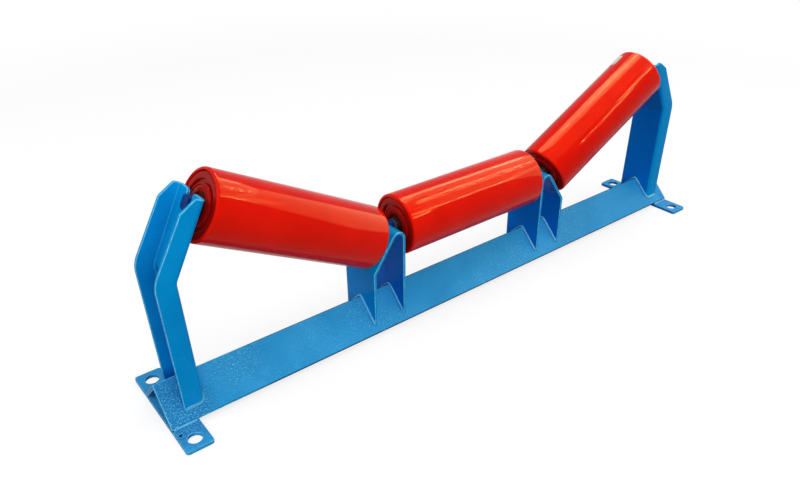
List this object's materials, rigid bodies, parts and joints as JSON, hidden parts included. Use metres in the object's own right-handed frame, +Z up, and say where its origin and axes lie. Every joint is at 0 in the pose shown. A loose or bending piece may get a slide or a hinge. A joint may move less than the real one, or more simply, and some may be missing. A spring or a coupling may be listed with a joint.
{
  "type": "troughing idler set",
  "caption": "Welded cross frame of angle iron with bent end posts and folded inner brackets that carries steel rollers in a trough, to support a loaded conveyor belt.",
  "frame": {"origin": "middle of the frame's length and width, on the ground under the foot plates", "axes": "+X along the frame towards the right end post, +Y the way the belt travels, +Z up"},
  "size_m": [1, 0.17, 0.3008],
  "materials": {
    "frame_paint": "gloss blue paint over welded mild steel",
    "roller_paint": "gloss red powder coat",
    "shaft_steel": "bright drawn bar",
    "bearing_steel": "ground",
    "bearing_balls": "polished",
    "cage_steel": "pressed",
    "spring_steel": "blackened spring steel",
    "seal_plastic": "moulded",
    "seal_rubber": "moulded",
    "cover_plastic": "moulded black"
  },
  "bodies": {
    "frame": {"base_angle": "frame_paint", "foot_plate_left": "frame_paint", "foot_plate_right": "frame_paint", "end_post_left": "frame_paint", "end_post_right": "frame_paint", "inner_bracket_left": "frame_paint", "inner_bracket_right": "frame_paint", "foot_welds_left": "frame_paint", "foot_welds_right": "frame_paint", "post_welds_left": "frame_paint", "post_welds_right": "frame_paint", "bracket_welds_left": "frame_paint", "bracket_welds_right": "frame_paint"},
    "left_axle": {"left_shaft": "shaft_steel", "left_inner_rings": "bearing_steel", "left_labyrinth_stators": "seal_plastic", "left_dust_covers": "cover_plastic", "left_circlips": "spring_steel"},
    "left_drum": {"left_tube": "roller_paint", "left_cap_rings": "roller_paint", "left_outer_rings": "bearing_steel", "left_labyrinth_rotors": "seal_plastic", "left_grease_seals": "seal_rubber", "left_outer_housing": "roller_paint", "left_inner_housing": "roller_paint"},
    "left_ball_set": {"left_balls": "bearing_balls", "left_cages": "cage_steel"},
    "centre_axle": {"centre_shaft": "shaft_steel", "centre_inner_rings": "bearing_steel", "centre_labyrinth_stators": "seal_plastic", "centre_dust_covers": "cover_plastic", "centre_circlips": "spring_steel"},
    "centre_drum": {"centre_tube": "roller_paint", "centre_cap_rings": "roller_paint", "centre_outer_rings": "bearing_steel", "centre_labyrinth_rotors": "seal_plastic", "centre_grease_seals": "seal_rubber", "centre_right_housing": "roller_paint", "centre_left_housing": "roller_paint"},
    "centre_ball_set": {"centre_balls": "bearing_balls", "centre_cages": "cage_steel"},
    "right_axle": {"right_shaft": "shaft_steel", "right_inner_rings": "bearing_steel", "right_labyrinth_stators": "seal_plastic", "right_dust_covers": "cover_plastic", "right_circlips": "spring_steel"},
    "right_drum": {"right_tube": "roller_paint", "right_cap_rings": "roller_paint", "right_outer_rings": "bearing_steel", "right_labyrinth_rotors": "seal_plastic", "right_grease_seals": "seal_rubber", "right_outer_housing": "roller_paint", "right_inner_housing": "roller_paint"},
    "right_ball_set": {"right_balls": "bearing_balls", "right_cages": "cage_steel"}
  },
  "joints": [
    {"name": "left_lift_out", "type": "slide", "parent": "frame", "child": "left_axle", "axis": [0.4695, 0, 0.8829], "range_m": [0, 0.026]},
    {"name": "left_drum_spin", "type": "hinge", "parent": "left_axle", "child": "left_drum", "pos_m": [-0.29278, 0, 0.20153], "axis": [0.8829, 0, -0.4695], "continuous": true},
    {"name": "left_cage_roll", "type": "hinge", "parent": "left_axle", "child": "left_ball_set", "pos_m": [-0.29278, 0, 0.20153], "axis": [0.8829, 0, -0.4695], "continuous": true},
    {"name": "centre_lift_out", "type": "slide", "parent": "frame", "child": "centre_axle", "axis": [0, 0, 1], "range_m": [0, 0.02]},
    {"name": "centre_drum_spin", "type": "hinge", "parent": "centre_axle", "child": "centre_drum", "pos_m": [0, 0, 0.144], "axis": [1, 0, 0], "continuous": true},
    {"name": "centre_cage_roll", "type": "hinge", "parent": "centre_axle", "child": "centre_ball_set", "pos_m": [0, 0, 0.144], "axis": [1, 0, 0], "continuous": true},
    {"name": "right_lift_out", "type": "slide", "parent": "frame", "child": "right_axle", "axis": [-0.4695, 0, 0.8829], "range_m": [0, 0.026]},
    {"name": "right_drum_spin", "type": "hinge", "parent": "right_axle", "child": "right_drum", "pos_m": [0.29278, 0, 0.20153], "axis": [0.8829, 0, 0.4695], "continuous": true},
    {"name": "right_cage_roll", "type": "hinge", "parent": "right_axle", "child": "right_ball_set", "pos_m": [0.29278, 0, 0.20153], "axis": [0.8829, 0, 0.4695], "continuous": true}
  ],
  "couplings": [
    {"joint": "left_cage_roll", "follows": "left_drum_spin", "ratio": 0.61851},
    {"joint": "centre_cage_roll", "follows": "centre_drum_spin", "ratio": 0.61851},
    {"joint": "right_cage_roll", "follows": "right_drum_spin", "ratio": 0.61851}
  ]
}
